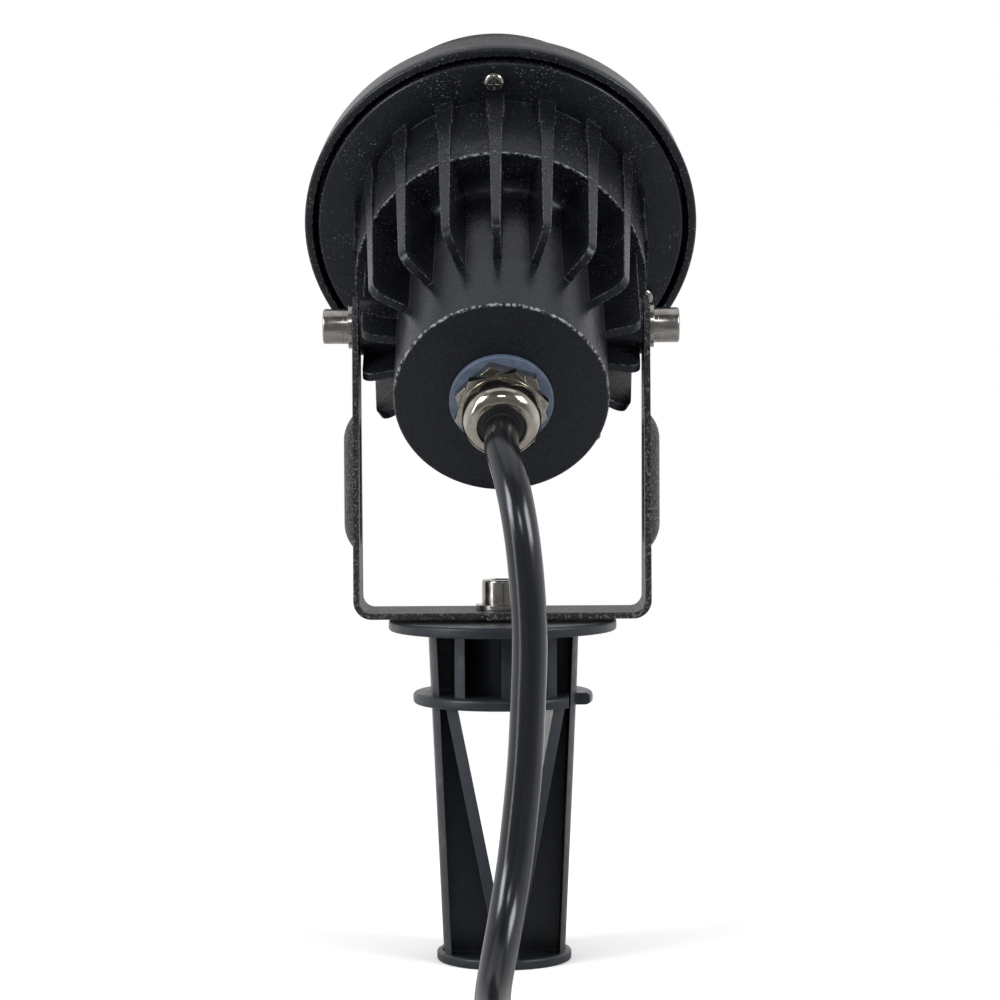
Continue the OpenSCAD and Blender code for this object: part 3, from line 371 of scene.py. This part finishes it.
rubber, tree, shader, place = new_finish("cord_rubber", (0.009, 0.009, 0.0095), 0.4)
shader.inputs["Specular IOR Level"].default_value = 0.5
along = add_node(tree, "ShaderNodeUVMap", uv_map="along")
streak = grain(tree, along.outputs["UV"], 1000, 3.0, stretch=(30, 25, 1))
fine = grain(tree, place, 0.5, 3.0)
shader.inputs["Specular Tint"].default_value = (0.9, 0.94, 1.0, 1)
tree.links.new(two_tones(tree, streak, (0.0045, 0.0048, 0.0058), (0.0085, 0.009, 0.0105)),
               shader.inputs["Base Color"])
tree.links.new(spread(tree, streak, 0.17, 0.25), shader.inputs["Roughness"])
raise_surface(tree, shader, fine, 0.008)
cord.data.materials.append(rubber)
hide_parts("cord_lead", "cord_coil")
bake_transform(cord)

# Cores: three insulated copper cores that stand out of the sheath's end for wiring, brown, blue and
# green-yellow, each with a bare copper tip. Their UV map picks the colour from four bands.
CORE_R = 1.3
CORE_LEN = 34.0
CORE_STRAIGHT = 3.0
CORE_SPREAD = 1.6
CORE_DROP = 0.9
CORE_SIDES = 14
COPPER_R = 0.8
COPPER_LEN = 6.0
TIP_R = 0.02
TIP_SHARE = 0.02
CORE_CLEARANCE = 0.1
CORE_POINTS = 30
CORE_STEP = 0.5
SLEEVE_BANDS = 4
COPPER_BAND = 3


def core_line(out, up):
    """Straight out of the sheath, then an arc about the coil's centre that widens and sinks by a half
    cosine."""
    outwards = np.array([end_heading[1], -end_heading[0], 0])
    first = coil_end + out * outwards + np.array([0, 0, up])
    from_centre = coil_end[:2] - COIL_CENTRE
    radius = np.linalg.norm(from_centre)
    base = math.atan2(from_centre[1], from_centre[0])
    drop = COIL_PITCH - CORD_D / 2 - CORE_R - CORE_CLEARANCE + up
    u = np.linspace(0, 1, CORE_POINTS)[1:]
    ease = (1 - np.cos(np.pi * u)) / 2
    angle = base + (CORE_STRAIGHT + (CORE_LEN - CORE_STRAIGHT) * u) / radius
    wide = radius + out * (1 + ease)
    bend = np.stack([COIL_CENTRE[0] + wide * np.cos(angle), COIL_CENTRE[1] + wide * np.sin(angle),
                     coil_end[2] + up - drop * ease], axis=-1)
    return np.vstack([first, first + CORE_STRAIGHT * end_heading, bend])


core_parts = []
core_places = [(-CORE_SPREAD, -CORE_DROP), (0.0, CORE_SPREAD), (CORE_SPREAD, -CORE_DROP)]
for index, (out, up) in enumerate(core_places):
    line = smooth_line(core_line(out, up), CORE_STEP)
    left = np.linalg.norm(np.diff(line, axis=0), axis=1)[::-1].cumsum()[::-1]
    left = np.concatenate([left, [0]])
    radius = np.where(left < COPPER_LEN, COPPER_R, CORE_R)
    radius[-1] = TIP_R
    line[-1] = line[-2] + TIP_SHARE * (line[-1] - line[-2])
    points, faces, uv = tube(line, radius, CORE_SIDES, np.array([0, 0, 1.0]))
    copper = (left < COPPER_LEN)[faces // CORE_SIDES].all(1)
    band = np.where(copper, COPPER_BAND, index) + 0.5
    uv = np.broadcast_to(band[:, None, None] / SLEEVE_BANDS, uv[..., :1].shape)
    core_parts.append((points, faces, np.concatenate([uv, np.zeros(uv.shape)], axis=-1)))
shift = np.cumsum([0] + [len(p) for p, _, _ in core_parts])
cores = make_piece(
    "cord_core_ends",
    np.vstack([p for p, _, _ in core_parts]),
    np.vstack([f + s for (_, f, _), s in zip(core_parts, shift)]),
    np.vstack([u for _, _, u in core_parts]),
)
sleeves, tree, shader, place = new_finish("core_sleeves", (0.1, 0.05, 0.02), 0.42)
which = add_node(tree, "ShaderNodeUVMap", uv_map="along")
split = add_node(tree, "ShaderNodeSeparateXYZ")
tree.links.new(which.outputs["UV"], split.inputs["Vector"])
ramp = add_node(tree, "ShaderNodeValToRGB")
ramp.color_ramp.interpolation = "CONSTANT"
ramp.color_ramp.elements[0].color = (0.11, 0.035, 0.012, 1)
ramp.color_ramp.elements[1].position = 0.25
ramp.color_ramp.elements[1].color = (0.012, 0.07, 0.36, 1)
ramp.color_ramp.elements.new(0.5).color = (0.42, 0.42, 0.02, 1)
ramp.color_ramp.elements.new(0.75).color = (0.75, 0.33, 0.15, 1)
tree.links.new(split.outputs["X"], ramp.inputs["Fac"])
worn = add_node(tree, "ShaderNodeMixRGB", blend_type="MULTIPLY", in_Fac=0.35)
tree.links.new(ramp.outputs["Color"], worn.inputs["Color1"])
tree.links.new(grain(tree, place, 1.5), worn.inputs["Color2"])
tree.links.new(worn.outputs["Color"], shader.inputs["Base Color"])
raise_surface(tree, shader, grain(tree, place, 0.3), 0.01)
cores.data.materials.append(sleeves)
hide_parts("cord_cores")
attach(cores, "swivel")


WELD_MM = 0.001


def give(material, *names):
    """Puts one finish on the whole of each CAD node, and lets its curved faces shade as smooth."""
    for name in names:
        node = nodes[name]
        node.data.materials.clear()
        node.data.materials.append(material)
        node.data.polygons.foreach_set("material_index", np.zeros(len(node.data.polygons), np.int32))
        node.data.polygons.foreach_set("use_smooth", np.ones(len(node.data.polygons), bool))
        weld = node.modifiers.new("join", "WELD")
        weld.merge_threshold = WELD_MM * MM
        curved = node.modifiers.new("curved", "NODES")
        curved.node_group = curved_faces


SHARP_DEG = 28


def shade_group():
    """A node group that shades a mesh smooth except across edges that turn by more than SHARP_DEG."""
    group = bpy.data.node_groups.new("curved_faces", "GeometryNodeTree")
    group.interface.new_socket("Geometry", in_out="INPUT", socket_type="NodeSocketGeometry")
    group.interface.new_socket("Geometry", in_out="OUTPUT", socket_type="NodeSocketGeometry")
    entry = group.nodes.new("NodeGroupInput")
    leave = group.nodes.new("NodeGroupOutput")
    whole = group.nodes.new("GeometryNodeSetShadeSmooth")
    sharp = group.nodes.new("GeometryNodeSetShadeSmooth")
    sharp.domain = "EDGE"
    sharp.inputs["Shade Smooth"].default_value = False
    angle = group.nodes.new("GeometryNodeInputMeshEdgeAngle")
    over = group.nodes.new("FunctionNodeCompare")
    over.operation = "GREATER_THAN"
    over.inputs["B"].default_value = math.radians(SHARP_DEG)
    link = group.links.new
    link(entry.outputs[0], whole.inputs["Geometry"])
    link(whole.outputs["Geometry"], sharp.inputs["Geometry"])
    link(angle.outputs["Unsigned Angle"], over.inputs["A"])
    link(over.outputs["Result"], sharp.inputs["Selection"])
    link(sharp.outputs["Geometry"], leave.inputs[0])
    return group


curved_faces = shade_group()

# Tie: a nylon strap pulled round the coil, with its lock on top
tie_nylon, tree, shader, place = new_finish("tie_nylon", (0.02, 0.02, 0.021), 0.45)
tree.links.new(spread(tree, grain(tree, place, 0.6), 0.38, 0.55), shader.inputs["Roughness"])
raise_surface(tree, shader, grain(tree, place, 0.25), 0.015, 0.2)
give(tie_nylon, "cord_tie")

# Stake: one moulding in black polypropylene, with a satin skin, slightly wavy plates and edges rubbed a
# little paler
stake_plastic, tree, shader, place = new_finish("stake_plastic", (0.008, 0.0095, 0.0125), 0.4)
shader.inputs["Specular IOR Level"].default_value = 0.38
shader.inputs["Specular Tint"].default_value = (0.9, 0.95, 1.0, 1)
wave = grain(tree, place, 14, 1.0)
fine = grain(tree, place, 0.4, 3.0)
skin = two_tones(tree, grain(tree, place, 3.0, 4.0), (0.0085, 0.0105, 0.014), (0.0135, 0.0158, 0.0205))
edge_wear_and_glints = edge_mask(tree, 0.3, 0.9)
tree.links.new(lighten(tree, skin, edge_wear_and_glints, (0.035, 0.037, 0.042)), shader.inputs["Base Color"])
tree.links.new(spread(tree, grain(tree, place, 2.2, 4.0), 0.32, 0.46), shader.inputs["Roughness"])
waved = raise_surface(tree, shader, wave, 0.25, 0.35)
raise_surface(tree, shader, fine, 0.014, under=waved)
give(stake_plastic, "stake")

# Stainless fasteners: bolts, nuts, washers and screws, bright from turning, with a few dull patches
stainless, tree, shader, place = new_finish("stainless", (0.5, 0.48, 0.46), 0.2, 1.0)
tree.links.new(spread(tree, grain(tree, place, 1.6, 3.0), 0.14, 0.26), shader.inputs["Roughness"])
tree.links.new(two_tones(tree, grain(tree, place, 2.6), (0.26, 0.243, 0.228), (0.38, 0.36, 0.34)),
               shader.inputs["Base Color"])
raise_surface(tree, shader, grain(tree, place, 0.5, 1.0), 0.004, 0.2)
give(stainless, "swivel_washer", "base_nut", "base_washer", "base_bolt", "pivot_flat_washers",
     "pivot_spring_washers", "pivot_bolts", "cap_screws", "plate_screws")

# Bracket: bent steel strap, powder coated black with a coarse sandy texture, whose grains and outward edges
# carry painted glints as pale specks
coated_steel, tree, shader, place = new_finish("coated_steel", (0.012, 0.012, 0.0135), 0.5)
shader.inputs["Specular IOR Level"].default_value = 0.26
coat = two_tones(tree, grain(tree, place, 0.8, 3.0), (0.0025, 0.0025, 0.003), (0.028, 0.028, 0.03))
# Painted glints: pale specks where the coat's sandy grains would catch the light
coat = lighten(tree, coat, dust_and_glint_specks(tree, place, 0.6, 0.59), (0.085, 0.085, 0.09))
# Painted glints: pale specks along the outward edges
edge_wear_and_glints = edge_mask(tree, 0.35, 0.7)
tree.links.new(lighten(tree, coat, edge_wear_and_glints, (0.1, 0.1, 0.105)), shader.inputs["Base Color"])
tree.links.new(spread(tree, grain(tree, place, 0.5), 0.34, 0.58), shader.inputs["Roughness"])
raise_surface(tree, shader, grain(tree, place, 0.8, 3.0), 0.3, 0.4)
give(coated_steel, "bracket")

# Heat sink and front cap: die-cast aluminium under a thin black powder coat, with the casting's soft
# unevenness below it, painted glints as pale specks along the outward edges and on the upper half of two
# rims, and pale specks towards the flange, partly dust and partly painted glints
DUST_AND_GLINTS_FROM = -20
DUST_AND_GLINTS_FULL = 15
coated_casting, tree, shader, place = new_finish("coated_casting", (0.004, 0.0046, 0.0064), 0.4)
shader.inputs["Specular IOR Level"].default_value = 0.3
shader.inputs["Specular Tint"].default_value = (0.86, 0.92, 1.0, 1)
coat = two_tones(tree, grain(tree, place, 0.9, 4.0), (0.0032, 0.0038, 0.0055), (0.0072, 0.008, 0.0108))
# Pale specks, more of them towards the flange: partly dust, partly painted glints
front = map_range(tree, lamp_place(tree, place)[1].outputs["Y"], DUST_AND_GLINTS_FROM * MM, DUST_AND_GLINTS_FULL * MM)
patches = times(tree, spread(tree, grain(tree, place, 9.0, 1.0), -0.8, 1.6), front)
coat = lighten(tree, coat, times(tree, dust_and_glint_specks(tree, place, 0.5, 0.67), patches), (0.12, 0.122, 0.13))
# Painted glints: pale specks along the outward edges, which are also made glossier
edges = edge_mask(tree, 0.45, 0.8)
coat = lighten(tree, coat, edges, (0.1, 0.102, 0.108))
# Painted highlights: broken pale lines on the upper half of two rims about the lamp's axis
coat = lighten(tree, coat, rim_highlight_mask(tree, place, 36.1, -21, 0.6), (0.2, 0.205, 0.215))
coat = lighten(tree, coat, rim_highlight_mask(tree, place, 25.1, 34.2, 0.5), (0.2, 0.205, 0.215))
tree.links.new(coat, shader.inputs["Base Color"])
gloss = map_range(tree, edges, 0.0, 1.0, 1.0, 0.5)
rough = spread(tree, grain(tree, place, 0.5), 0.22, 0.4)
tree.links.new(times(tree, rough, gloss), shader.inputs["Roughness"])
uneven = raise_surface(tree, shader, grain(tree, place, 5.0, 2.0), 0.16, 0.45)
raise_surface(tree, shader, grain(tree, place, 0.5, 3.0), 0.04, under=uneven)
give(coated_casting, "heat_sink", "front_cap")

# Lens, gasket, reflector, light source and driver: the pieces inside the lamp, of which only the first ones
# show through the glass
lens_glass, tree, shader, place = new_finish("lens_glass", (0.93, 0.97, 0.96), 0.03)
shader.inputs["Transmission Weight"].default_value = 1.0
shader.inputs["IOR"].default_value = 1.5
tree.links.new(spread(tree, grain(tree, place, 6.0), 0.015, 0.05), shader.inputs["Roughness"])
give(lens_glass, "glass_lens")

gasket_rubber, tree, shader, place = new_finish("gasket_rubber", (0.03, 0.03, 0.03), 0.7)
raise_surface(tree, shader, grain(tree, place, 0.5), 0.02)
give(gasket_rubber, "lens_gasket")

bright_reflector, tree, shader, place = new_finish("bright_reflector", (0.86, 0.87, 0.88), 0.12, 1.0)
dimple = add_node(tree, "ShaderNodeTexVoronoi", in_Scale=420.0, feature="SMOOTH_F1")
tree.links.new(place, dimple.inputs["Vector"])
raise_surface(tree, shader, dimple.outputs["Distance"], 0.25)
give(bright_reflector, "reflector")

bare_aluminium, tree, shader, place = new_finish("bare_aluminium", (0.7, 0.71, 0.72), 0.35, 1.0)
tree.links.new(spread(tree, grain(tree, place, 1.0, 3.0, (1, 12, 12)), 0.3, 0.45), shader.inputs["Roughness"])
give(bare_aluminium, "led_plate")

phosphor, tree, shader, place = new_finish("led_phosphor", (0.8, 0.62, 0.12), 0.6)
tree.links.new(two_tones(tree, grain(tree, place, 0.8), (0.78, 0.58, 0.1), (0.86, 0.7, 0.2)),
               shader.inputs["Base Color"])
give(phosphor, "led_cob")

white_plastic, tree, shader, place = new_finish("white_plastic", (0.8, 0.8, 0.78), 0.5)
raise_surface(tree, shader, grain(tree, place, 0.6), 0.02, 0.2)
give(white_plastic, "cob_holder")

red_wire, tree, shader, place = new_finish("red_wire", (0.45, 0.03, 0.02), 0.4)
raise_surface(tree, shader, grain(tree, place, 0.5), 0.01)
give(red_wire, "led_wires")

circuit_board, tree, shader, place = new_finish("circuit_board", (0.015, 0.12, 0.04), 0.3)
tree.links.new(two_tones(tree, grain(tree, place, 1.2, 0.0), (0.01, 0.09, 0.03), (0.02, 0.16, 0.055)),
               shader.inputs["Base Color"])
give(circuit_board, "driver_board")

components, tree, shader, place = new_finish("driver_components", (0.5, 0.33, 0.09), 0.45)
tree.links.new(two_tones(tree, grain(tree, place, 4.0), (0.05, 0.05, 0.055), (0.55, 0.36, 0.1)),
               shader.inputs["Base Color"])
give(components, "driver_parts")

inner_sleeves, tree, shader, place = new_finish("supply_sleeves", (0.1, 0.04, 0.015), 0.42)
raise_surface(tree, shader, grain(tree, place, 0.5), 0.01)
give(inner_sleeves, "supply_wires")

# Gland: nickel plated brass on a grey nylon washer, with a rubber seal round the cord
grey_nylon, tree, shader, place = new_finish("grey_nylon", (0.11, 0.145, 0.2), 0.5)
tree.links.new(two_tones(tree, grain(tree, place, 2.0), (0.05, 0.07, 0.115), (0.085, 0.11, 0.16)),
               shader.inputs["Base Color"])
raise_surface(tree, shader, grain(tree, place, 0.5), 0.015, 0.2)
give(grey_nylon, "gland_washer")

nickel, tree, shader, place = new_finish("nickel_brass", (0.46, 0.43, 0.38), 0.12, 1.0)
tree.links.new(spread(tree, grain(tree, place, 1.2, 3.0), 0.07, 0.18), shader.inputs["Roughness"])
tree.links.new(two_tones(tree, grain(tree, place, 2.5), (0.32, 0.295, 0.255), (0.46, 0.43, 0.375)),
               shader.inputs["Base Color"])
raise_surface(tree, shader, grain(tree, place, 1.4, 2.0), 0.02, 0.25)
give(nickel, "gland_body", "gland_nut", "gland_locknut")

gland_rubber, tree, shader, place = new_finish("gland_rubber", (0.012, 0.012, 0.013), 0.5)
raise_surface(tree, shader, grain(tree, place, 0.5), 0.015)
give(gland_rubber, "gland_seal", "cord_inner")

# Studio: a white floor that keeps the shadow and fades into the white surround, a tall soft box on the left,
# two square ones higher up, a small one over the camera and a large one above. Metal and gloss see white
# behind and beside the lamp, a dim room on the photographer's side and a darker floor.
FLOOR = 3.0
FLOOR_WHITE = (0.93, 0.93, 0.93)
FLOOR_IN_GLOSS = (0.45, 0.45, 0.45, 1)
FADE_FROM = 0.12
FADE_TO = 0.42
floor_mesh = bpy.data.meshes.new("floor")
floor_mesh.from_pydata([(-FLOOR, -FLOOR, 0), (FLOOR, -FLOOR, 0), (FLOOR, FLOOR, 0), (-FLOOR, FLOOR, 0)], [],
                       [(0, 1, 2, 3)])
floor = bpy.data.objects.new("floor", floor_mesh)
bpy.context.scene.collection.objects.link(floor)
pale, tree, shader, place = new_finish("pale_floor", FLOOR_WHITE, 0.9)
shader.inputs["Specular IOR Level"].default_value = 0.0
reach = add_node(tree, "ShaderNodeVectorMath", operation="LENGTH")
tree.links.new(place, reach.inputs[0])
fade = map_range(tree, reach.outputs["Value"], FADE_FROM, FADE_TO, interpolation_type="SMOOTHSTEP")
clear = add_node(tree, "ShaderNodeBsdfTransparent")
seen = add_node(tree, "ShaderNodeLightPath")
dim = add_node(tree, "ShaderNodeMixRGB")
tree.links.new(seen.outputs["Is Glossy Ray"], dim.inputs["Fac"])
dim.inputs["Color1"].default_value = (*FLOOR_WHITE, 1)
dim.inputs["Color2"].default_value = FLOOR_IN_GLOSS
tree.links.new(dim.outputs["Color"], shader.inputs["Base Color"])
both = add_node(tree, "ShaderNodeMixShader")
tree.links.new(fade, both.inputs["Fac"])
tree.links.new(shader.outputs["BSDF"], both.inputs[1])
tree.links.new(clear.outputs["BSDF"], both.inputs[2])
tree.links.new(both.outputs["Shader"], tree.nodes["Material Output"].inputs["Surface"])
floor.data.materials.append(pale)

DIFFUSE_LIGHT = 0.75
SIDE_SHARE = 0.55
DIM_ROOM = 0.24
DIM_CEILING = 0.5
world = bpy.data.worlds.new("surround")
bpy.context.scene.world = world
world.use_nodes = True
sky = world.node_tree
background = sky.nodes["Background"]
background.inputs["Color"].default_value = (1, 1, 1, 1)
rays = add_node(sky, "ShaderNodeLightPath")
way = add_node(sky, "ShaderNodeTexCoord")
axes = add_node(sky, "ShaderNodeSeparateXYZ")
sky.links.new(way.outputs["Generated"], axes.inputs["Vector"])
sides = add_node(sky, "ShaderNodeMath", operation="ABSOLUTE")
sky.links.new(axes.outputs["X"], sides.inputs[0])
lift = add_node(sky, "ShaderNodeMath", operation="MULTIPLY_ADD")
lift.inputs[1].default_value = SIDE_SHARE
sky.links.new(sides.outputs["Value"], lift.inputs[0])
sky.links.new(axes.outputs["Y"], lift.inputs[2])
room = map_range(sky, lift.outputs["Value"], -0.35, 0.75, DIM_ROOM, 1.0, interpolation_type="SMOOTHSTEP")
overhead = map_range(sky, axes.outputs["Z"], 0.25, 0.95, 1.0, DIM_CEILING, interpolation_type="SMOOTHSTEP")


def choose(flag, otherwise, chosen):
    """A value that is the chosen one where the flag is 1, and else the other."""
    mix = sky.nodes.new("ShaderNodeMix")
    sky.links.new(flag, mix.inputs["Factor"])
    for socket, value in ((mix.inputs["A"], otherwise), (mix.inputs["B"], chosen)):
        if isinstance(value, float):
            socket.default_value = value
        else:
            sky.links.new(value, socket)
    return mix.outputs["Result"]


level = choose(rays.outputs["Is Glossy Ray"], DIFFUSE_LIGHT, times(sky, room, overhead))
level = choose(rays.outputs["Is Transmission Ray"], level, 1.0)
level = choose(rays.outputs["Is Camera Ray"], level, 1.0)
sky.links.new(level, background.inputs["Strength"])


def soft_lamp(name, place, target, wide, high, watts):
    """A rectangular area lamp that faces its target."""
    light = bpy.data.lights.new(name, "AREA")
    light.shape = "RECTANGLE"
    light.size = wide
    light.size_y = high
    light.energy = watts
    lamp = bpy.data.objects.new(name, light)
    bpy.context.scene.collection.objects.link(lamp)
    way = np.array(place) - np.array(target)
    lamp.location = place
    lamp.rotation_euler = (
        math.acos(way[2] / np.linalg.norm(way)), 0, math.atan2(way[1], way[0]) + math.pi / 2)


LOW_AIM = (0, 0, 0.13)
HIGH_AIM = (0, 0, 0.15)
soft_lamp("left_box", (-0.8, -0.42, 0.18), LOW_AIM, 0.11, 0.6, 1.3)
soft_lamp("upper_left_box", (-0.64, -0.42, 0.52), LOW_AIM, 0.34, 0.34, 4.2)
soft_lamp("upper_right_box", (0.64, -0.42, 0.52), LOW_AIM, 0.34, 0.34, 4.2)
soft_lamp("front_box", (0, -0.82, 0.6), HIGH_AIM, 0.2, 0.12, 0.8)
soft_lamp("top_box", (0, 0.1, 1.1), HIGH_AIM, 1.2, 0.9, 2.2)

bpy.context.scene.view_settings.view_transform = "Standard"
